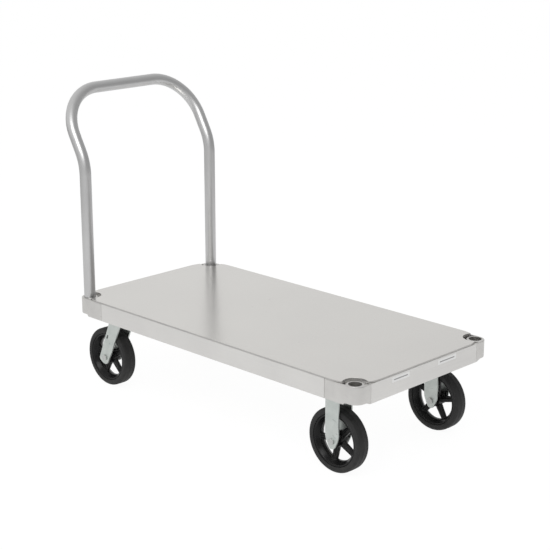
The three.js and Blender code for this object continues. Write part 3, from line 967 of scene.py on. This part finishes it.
def fork_leg(name, corners, inner_face, rounded, steps=8):
    """corners are (x, z) in mm from the axle, and rounded lists (number of a corner, rounding in mm).

    The leg is pushed out from its inner face, away from the wheel.
    """
    points = [(x * MM, inner_face, z * MM) for x, z in corners]
    outward = math.copysign(leg_thickness, inner_face)
    roundings = [(points[number], length * MM) for number, length in rounded]
    leg = plate(name, points, (0, outward, 0), roundings, steps)
    cut(leg, rod("axle_hole", axle_radius + axle_clearance, (0, -REACH, 0), (0, REACH, 0), sides=48))
    return leg


def top_plate(name, centre_x=0.0):
    """A bolted plate at its height over the axle, with a hole for each mounting bolt."""
    high = fork_top - wheel_radius
    low = high - top_plate_thickness
    corners = rectangle(centre_x, top_plate_half.x, top_plate_half.y, low)
    piece = plate(name, corners, (0, 0, top_plate_thickness), all_corners(corners, top_plate_corner))
    for place in bolt_places:
        middle = place + Vector((centre_x, 0, 0))
        hole_low, hole_high = middle + Vector((0, 0, low - MM)), middle + Vector((0, 0, high + MM))
        cut(piece, rod("bolt_hole", bolt_hole_radius, hole_low, hole_high, sides=32))
    return piece


def rigid_fork():
    """Modelled about the axle. The legs are sunk a little into the plate, so that they join as one solid."""
    sunk_in = 0.05 * MM
    plate_bottom = (fork_top - top_plate_thickness - wheel_radius) / MM
    straight_leg = [(-26, plate_bottom), (-26, 10), (-11, -20), (-5, -24), (5, -24), (11, -20), (26, 10),
                    (26, plate_bottom)]
    rounding = [(1, 10), (2, 5), (3, 4), (4, 4), (5, 5), (6, 10)]
    fork = top_plate("rigid_fork")
    for sign in (-1, 1):
        leg = fork_leg("straight_leg", straight_leg, sign * leg_inside, rounding)
        smooth_by_angle(leg)
        soften(leg, 0.7 * MM)
        leg.data.transform(Matrix.Translation((0, 0, sunk_in)))
        join_solid(fork, leg)
    smooth_by_angle(fork)
    return fork


# %% [markdown]
# ## Swivel casters
# The rear casters turn under a fixed plate on a ball race held by a kingpin. The fork is pressed from one
# thick strip: a crown, and two legs raked back so that the wheel trails. A long slot near the back edge of
# each leg takes the brake or lock that this truck doesn't have.

# %% Swivel forks
race_low, race_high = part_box("ball_race_rear_right")
crown_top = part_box("swivel_fork_rear_right")[1].z
swivel_trail = (race_low.x + race_high.x) / 2 - axle_of("rear_right").x
crown_thickness = 5 * MM
crown_half_length = 30 * MM
crown_corner = 3 * MM
crown_bend = 4 * MM
pin_hole_radius = 10 * MM
slot_middle = Vector((15.5, 0, 77)) * MM
slot_radius = 3.4 * MM
slot_half_length = 4.5 * MM


def cut_slot(leg):
    """A slot with round ends, in line with the leg: a hole at each end and a straight stretch between."""
    through = Vector((0, REACH, 0))
    along = Vector((swivel_trail, 0, crown_top - wheel_radius)).normalized() * slot_half_length
    for end in (slot_middle - along, slot_middle + along):
        cut(leg, rod("slot_end", slot_radius, end - through, end + through, sides=24))
    across = Vector((along.z, 0, -along.x)).normalized() * slot_radius
    corners = [slot_middle - along - across, slot_middle + along - across,
               slot_middle + along + across, slot_middle - along + across]
    cut(leg, plate("slot", [corner - through for corner in corners], (0, 2 * REACH, 0)))


def swivel_fork():
    """Modelled about the axle, with the swivel axis ahead of it by the trail."""
    top, trail = (crown_top - wheel_radius) / MM, swivel_trail / MM
    raked_leg = [(trail - 28, top), (-31, -9), (-12, -22), (2, -24), (11, -20), (28, 11), (trail + 28, top)]
    rounding = [(1, 8), (2, 5), (3, 5), (4, 5), (5, 10)]
    outside = leg_inside + leg_thickness
    low = (crown_top - wheel_radius) - crown_thickness
    crown = rectangle(swivel_trail, crown_half_length, outside, low)
    fork = plate("swivel_fork", crown, (0, 0, crown_thickness), all_corners(crown, crown_corner))
    for sign in (-1, 1):
        leg = fork_leg("raked_leg", raked_leg, sign * leg_inside, rounding)
        cut_slot(leg)
        join_solid(fork, leg)
    pin_hole_low, pin_hole_high = (swivel_trail, 0, low - MM), (swivel_trail, 0, low + 20 * MM)
    cut(fork, rod("pin_hole", pin_hole_radius, pin_hole_low, pin_hole_high, sides=48))
    edit(fork, "EDGE")
    pick(fork, "edges", lambda middle, item: middle.z > low + crown_thickness - 1e-5
         and abs(middle.y) > outside - 1e-5)
    bpy.ops.mesh.bevel(offset=crown_bend, segments=6, affect="EDGES")
    done()
    smooth_by_angle(fork)
    soften(fork, 0.5 * MM)
    return fork


def swivel_race():
    """Two pressed cups with a dark gap between them, where the balls run."""
    high, low = (race_high.z - wheel_radius), (race_low.z - wheel_radius)
    middle = (high + low) / 2
    inner, outer = 12 * MM, (race_high.x - race_low.x) / 2
    gap, depth = 0.8 * MM, 4 * MM
    lower = [(inner, low), (outer - 6 * MM, low), (outer, middle - gap), (outer - depth, middle - gap)]
    upper = [(outer - depth, middle + gap), (outer, middle + gap), (outer - 3 * MM, high), (inner, high)]
    section = [(swivel_trail + radius, 0, z) for radius, z in lower + upper]
    rounded = [(section[i], 2 * MM) for i in (1, 6)]
    race = turned("swivel_race", section, (0, 0, 1), rounded, steps=72, centre=(swivel_trail, 0, 0))
    smooth_by_angle(race, 30)
    return race


pin_radius = 9 * MM
pin_nut_radius = 15 * MM
pin_nut_height = 8 * MM
pin_chamfer = 1.6 * MM


def kingpin():
    """A bolt up the swivel axis, with its nut below the fork's crown."""
    low, high = (corner.z - wheel_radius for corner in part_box("kingpin_rear_right"))
    nut_top = low + pin_nut_height
    pin = hex_bar("kingpin", pin_nut_radius, (swivel_trail, 0, low), (swivel_trail, 0, nut_top), pin_chamfer)
    shank_low, shank_high = (swivel_trail, 0, nut_top - MM), (swivel_trail, 0, high)
    join_solid(pin, rod("pin_shank", pin_radius, shank_low, shank_high, sides=48))
    smooth_by_angle(pin, 30)
    return pin


# %% Place the forks
rigid_pattern = rigid_fork()
swivel_patterns = {"swivel_fork": swivel_fork(), "ball_race": swivel_race(), "kingpin": kingpin(),
                   "swivel_plate": top_plate("swivel_top_plate", swivel_trail)}
smooth_by_angle(swivel_patterns["swivel_plate"])
soften(swivel_patterns["swivel_plate"], 0.7 * MM)
for side in SIDES:
    front, rear = f"front_{side}", f"rear_{side}"
    fork = copied(rigid_pattern, f"rigid_fork_{front}_welded", Matrix.Translation(axle_of(front)))
    settle(fork, "deck", zinc_finish, "zinc_steel", f"rigid_fork_{front}")
    for kind, pattern in swivel_patterns.items():
        part = copied(pattern, f"{kind}_{rear}_pressed", Matrix.Translation(axle_of(rear)))
        body = f"swivel_{side}" if kind == "swivel_fork" else "deck"
        settle(part, body, zinc_finish, "zinc_steel", f"{kind}_{rear}")
for pattern in (rigid_pattern, *swivel_patterns.values()):
    bpy.data.objects.remove(pattern)
print("swivel trail:", round(swivel_trail / MM, 1), "mm")


# %% [markdown]
# ## Caster mounting bolts
# Sixteen bolts hold the casters: heads below, nuts inside the channel. One is modelled and copied.

# %% Mounting bolts
bolt_radius = 5 * MM
bolt_head_radius = 9 * MM
channel_flange = 6 * MM
seat_gap = 0.3 * MM


def mounting_bolt():
    """Modelled about its own axis, at the height it has on the truck."""
    low, high = (corner.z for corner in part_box("mounting_bolt_front_right_1"))
    head_top = fork_top - top_plate_thickness - seat_gap
    thread_foot = frame_bottom + channel_flange
    shank_low, shank_high = (0, 0, head_top - MM), (0, 0, frame_bottom + 7 * MM)
    nut_low, nut_high = (0, 0, frame_bottom + 6.3 * MM), (0, 0, frame_bottom + 14 * MM)
    bolt = hex_bar("mounting_bolt", bolt_head_radius, (0, 0, low), (0, 0, head_top))
    join_solid(bolt, rod("bolt_shank", bolt_radius, shank_low, shank_high, sides=32))
    join_solid(bolt, threaded_end("bolt_thread", bolt_radius, (0, 0, thread_foot),
                                  high - frame_bottom - channel_flange, (0, 0, 1)))
    join_solid(bolt, hex_bar("bolt_nut", bolt_head_radius, nut_low, nut_high))
    smooth_by_angle(bolt, 30)
    return bolt


bolt_pattern = mounting_bolt()
for wheel in WHEELS:
    for number in range(1, 5):
        low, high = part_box(f"mounting_bolt_{wheel}_{number}")
        middle = (low + high) / 2
        bolt = copied(bolt_pattern, f"mounting_bolt_{wheel}_{number}_turned",
                      Matrix.Translation((middle.x, middle.y, 0)))
        settle(bolt, "deck", bolt_finish, "bolt_steel", f"mounting_bolt_{wheel}_{number}")
bpy.data.objects.remove(bolt_pattern)


# %% [markdown]
# ## Grease fittings
# Each hub has a small grease nipple between two spokes, so that the bearing can be greased.

# %% Grease fittings
def grease_fitting():
    """Points down from the axle. foot and head list (radius, distance from the axle) in mm."""
    foot = [(0, 20), (3.2, 20), (3.2, 25), (2.2, 25.5), (2.2, 27)]
    head = [(3.0, 28), (3.0, 29), (1.8, 31), (0, 31.4)]
    section = [(radius * MM, 0, -out * MM) for radius, out in foot + head]
    fitting = turned("grease_fitting", section, (0, 0, 1), steps=20)
    smooth_by_angle(fitting, 40)
    return fitting


fitting_pattern = grease_fitting()
for wheel in WHEELS:
    between = math.radians(spoke_turn[wheel]) + math.tau / spoke_count / 2 + math.pi
    turn = Matrix.Rotation(between, 4, "Y")
    fitting = copied(fitting_pattern, f"grease_fitting_{wheel}", Matrix.Translation(axle_of(wheel)) @ turn)
    settle(fitting, f"wheel_{wheel}", bolt_finish, "bolt_steel")
bpy.data.objects.remove(fitting_pattern)


# %% [markdown]
# ## Weld beads
# Aluminium and steel are both joined here by beads with fine ripples, one for each dab of the filler rod. A
# bead is a turned section too: a row of low humps swept round its own length, half of it sunk in the corner
# that it fills.

# %% Weld beads
weld_finish = surface("weld_bead", (0.74, 0.735, 0.72), (0.62, 0.615, 0.60), roughness=0.36,
                      grain=(400, 400, 400), patch_scale=60.0, pebble=2e-5)


def weld_bead(name, start, end, radius, finish, slot):
    """A bead between two points, with about one ripple for each radius of its length."""
    start, end = Vector(start), Vector(end)
    length = (end - start).length
    ripples = max(2, round(length / radius))
    step = length / ripples
    valley = 0.80 * radius
    section = [(0, 0, 0)]
    for ripple in range(ripples):
        section += [(valley, 0, (ripple + 0.05) * step), (radius, 0, (ripple + 0.5) * step)]
    section += [(valley, 0, length), (0, 0, length)]
    bead = turned(name, section, (0, 0, 1), steps=14)
    aim_up_axis(bead, start, end - start)
    smooth_by_angle(bead, 70)
    settle(bead, "deck", finish, slot)


def channel_beads(kind, end):
    """One bead at each end of a cross member, along the side rail that it meets."""
    low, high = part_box(f"{kind}_{end}")
    start_x, end_x, height = low.x + 4 * MM, high.x - 4 * MM, low.z + 0.5 * MM
    for side, sign in SIDES.items():
        y = sign * high.y
        weld_bead(f"{kind}_{end}_{side}_bead", (start_x, y, height), (end_x, y, height), 2.4 * MM,
                  weld_finish, "frame_rail")


def leg_beads(side):
    """One bead along the outer face of each leg of a rigid caster, where it meets the top plate."""
    axle = axle_of(f"front_{side}")
    height = fork_top - top_plate_thickness - 0.3 * MM
    for place, sign in (("outer", 1), ("inner", -1)):
        y = axle.y + sign * (leg_inside + leg_thickness)
        weld_bead(f"leg_bead_{side}_{place}", (axle.x - 25 * MM, y, height), (axle.x + 25 * MM, y, height),
                  2.6 * MM, zinc_finish, "zinc_steel")


for end in ENDS:
    for kind in ("caster_channel", "centre_channel"):
        channel_beads(kind, end)
for side in SIDES:
    leg_beads(side)


# %% [markdown]
# ## Labels on the front rail
# The open end carries one long clear label with a white panel at each end. The panels are left without
# lettering: a plain grey bar stands where a line of print would be.

# %% Labels
label_grain = {"metallic": 0.0, "grain": (200, 200, 200), "rough_spread": 0.03}
paper_finish = surface("label_paper", (0.90, 0.90, 0.89), (0.87, 0.87, 0.86), roughness=0.35,
                       patch_scale=40.0, **label_grain)
clear_finish = surface("label_film", (0.80, 0.79, 0.77), (0.75, 0.74, 0.72), roughness=0.3,
                       patch_scale=30.0, **label_grain)
print_finish = surface("label_print", (0.30, 0.30, 0.305), (0.36, 0.36, 0.36), roughness=0.45,
                       patch_scale=90.0, **label_grain)


rail_face_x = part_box("end_rail_front")[1].x
label_low = deck_top - 27 * MM
label_high = deck_top - 10 * MM
label_ends = (-155 * MM, 143 * MM)
panel_ends = {"right": (-154 * MM, -76 * MM), "left": (56 * MM, 142 * MM)}
film_stand, panel_stand, bar_stand = 0.15 * MM, 0.25 * MM, 0.3 * MM


def label(name, ends, low_z, high_z, stand, finish, rounding=2 * MM):
    """A flat film on the front rail's face, standing out by the stated amount."""
    face = rail_face_x
    low_y, high_y = ends
    corners = [(face, low_y, low_z), (face, high_y, low_z), (face, high_y, high_z), (face, low_y, high_z)]
    film = plate(name, corners, (stand, 0, 0), all_corners(corners, rounding), steps=5)
    smooth_by_angle(film)
    settle(film, "deck", finish)


label("label_film", label_ends, label_low, label_high, film_stand, clear_finish)
for side, ends in panel_ends.items():
    label(f"label_panel_{side}", ends, label_low + 0.5 * MM, label_high - 0.5 * MM, panel_stand, paper_finish)
    bar_ends = (ends[0] + 8 * MM, ends[1] - 8 * MM)
    label(f"label_bar_{side}", bar_ends, label_low + 6.5 * MM, label_high - 7 * MM, bar_stand, print_finish,
          rounding=1 * MM)
print("labels:", 1 + 2 * len(panel_ends), "pieces, no lettering")


# %% [markdown]
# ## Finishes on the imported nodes
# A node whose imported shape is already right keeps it, and only gets its finish. The rest are replaced by
# worked pieces in the steps above, and are hidden.

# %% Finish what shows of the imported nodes
FINISH_OF_SLOT = {
    "deck_sheet": sheet_finish, "frame_rail": rail_finish, "corner_casting": cast_finish,
    "handle_tube": tube_finish, "zinc_steel": zinc_finish, "bolt_steel": bolt_finish,
    "bearing_steel": bolt_finish, "wheel_iron": enamel_finish, "tread_rubber": rubber_finish,
}
for part in frame["record"]["subparts"]:
    piece = nodes[part["node"]]
    piece.data.materials.clear()
    piece.data.materials.append(FINISH_OF_SLOT[part["material_slot"]])
print("packed nodes still shown:", [name for name, piece in nodes.items() if not piece.hide_render])


# %% [markdown]
# ## Floor and light
# The truck stands in a bright studio. Polished and drawn metal shows what stands round it more than its own
# colour, so the room matters as much as the finishes. The room fades from bright at the handle's end to grey
# at the open end, and the floor glows near the truck and darkens further off. Both give the round tube its
# lighter and darker edges. One large softbox, high over the long rail, adds soft shadows.

# %% Floor
def studio_floor():
    """White where it is seen; the light that it gives off falls away with distance from the truck."""
    deselect()
    bpy.ops.mesh.primitive_circle_add(vertices=96, radius=60, fill_type="NGON")
    floor = added("studio_floor")
    material = bpy.data.materials.new("studio_floor")
    material.use_nodes = True
    tree = material.node_tree
    tree.nodes.clear()
    matt = node(tree, "ShaderNodeBsdfDiffuse")
    matt.inputs["Color"].default_value = (0.72, 0.72, 0.72, 1)
    glow = node(tree, "ShaderNodeEmission")
    seen = node(tree, "ShaderNodeLightPath").outputs["Is Camera Ray"]
    away = node(tree, "ShaderNodeVectorMath", operation="LENGTH")
    tree.links.new(node(tree, "ShaderNodeTexCoord").outputs["Object"], away.inputs[0])
    strength = node(tree, "ShaderNodeMix", data_type="FLOAT")
    tree.links.new(seen, strength.inputs["Factor"])
    tree.links.new(map_range(tree, away.outputs["Value"], 2.6, 4.2, 1.09, 0.36), strength.inputs[2])
    strength.inputs[3].default_value = 1.06
    tree.links.new(strength.outputs[0], glow.inputs["Strength"])
    mix = node(tree, "ShaderNodeMixShader")
    tree.links.new(map_range(tree, seen, 0.0, 1.0, 0.5, 0.9), mix.inputs["Fac"])
    tree.links.new(matt.outputs[0], mix.inputs[1])
    tree.links.new(glow.outputs[0], mix.inputs[2])
    output = node(tree, "ShaderNodeOutputMaterial")
    tree.links.new(mix.outputs[0], output.inputs["Surface"])
    material.cycles.emission_sampling = "NONE"
    floor.data.materials.append(material)


studio_floor()
print("floor added")


# %% Room
def studio_room():
    """White where it is seen, and graded round the truck where it is reflected."""
    world = bpy.data.worlds.new("studio_room")
    bpy.context.scene.world = world
    world.use_nodes = True
    tree = world.node_tree
    tree.nodes.clear()
    place = node(tree, "ShaderNodeTexCoord").outputs["Generated"]
    toward = node(tree, "ShaderNodeVectorMath", operation="DOT_PRODUCT")
    toward.inputs[1].default_value = Vector((-0.93, -0.37, 0.0)).normalized()
    tree.links.new(place, toward.inputs[0])
    graded = map_range(tree, toward.outputs["Value"], -0.9, 0.4, 0.50, 0.97)
    path = node(tree, "ShaderNodeLightPath")
    seen = node(tree, "ShaderNodeMix", data_type="FLOAT")
    tree.links.new(path.outputs["Is Camera Ray"], seen.inputs["Factor"])
    tree.links.new(graded, seen.inputs[2])
    seen.inputs[3].default_value = 1.3
    back = node(tree, "ShaderNodeBackground")
    tree.links.new(seen.outputs[0], back.inputs["Strength"])
    output = node(tree, "ShaderNodeOutputWorld")
    tree.links.new(back.outputs[0], output.inputs["Surface"])


studio_room()


# %% Lamp
def softbox(name, place, target, width, height, power):
    """A rectangular lamp that faces its target. Lengths are in metres and the power in watts."""
    lamp = bpy.data.lights.new(name, "AREA")
    lamp.shape = "RECTANGLE"
    lamp.size = width
    lamp.size_y = height
    lamp.energy = power
    box = bpy.data.objects.new(name, lamp)
    bpy.context.scene.collection.objects.link(box)
    box.location = place
    box.rotation_euler = (Vector(target) - Vector(place)).to_track_quat("-Z", "Y").to_euler()


softbox("key_softbox", place=(2.2, -2.9, 3.9), target=(0, 0, 0.3), width=3.4, height=2.4, power=88)
print("lamps:", len(bpy.data.lights))


# %% [markdown]
# ## Camera
# A long lens from a little above, off one corner of the open end. The aim point lies on the deck's plane.

# %% Camera
def place_camera(azimuth, elevation, distance, aim, lens):
    camera_data = bpy.data.cameras.new("camera")
    camera_data.sensor_width = 36
    camera_data.lens = lens
    camera = bpy.data.objects.new("camera", camera_data)
    bpy.context.scene.collection.objects.link(camera)
    flat = math.cos(elevation)
    direction = Vector((math.sin(azimuth) * flat, -math.cos(azimuth) * flat, math.sin(elevation)))
    camera.location = aim + direction * distance
    camera.rotation_euler = (-direction).to_track_quat("-Z", "Y").to_euler()
    bpy.context.scene.camera = camera


place_camera(azimuth=math.radians(44.6), elevation=math.radians(16.23), distance=5.031,
             aim=Vector((-0.2653, 0.3321, deck_top)), lens=93.2)
bpy.context.scene.view_settings.view_transform = "Standard"
print("camera at", [round(value, 2) for value in bpy.context.scene.camera.location])
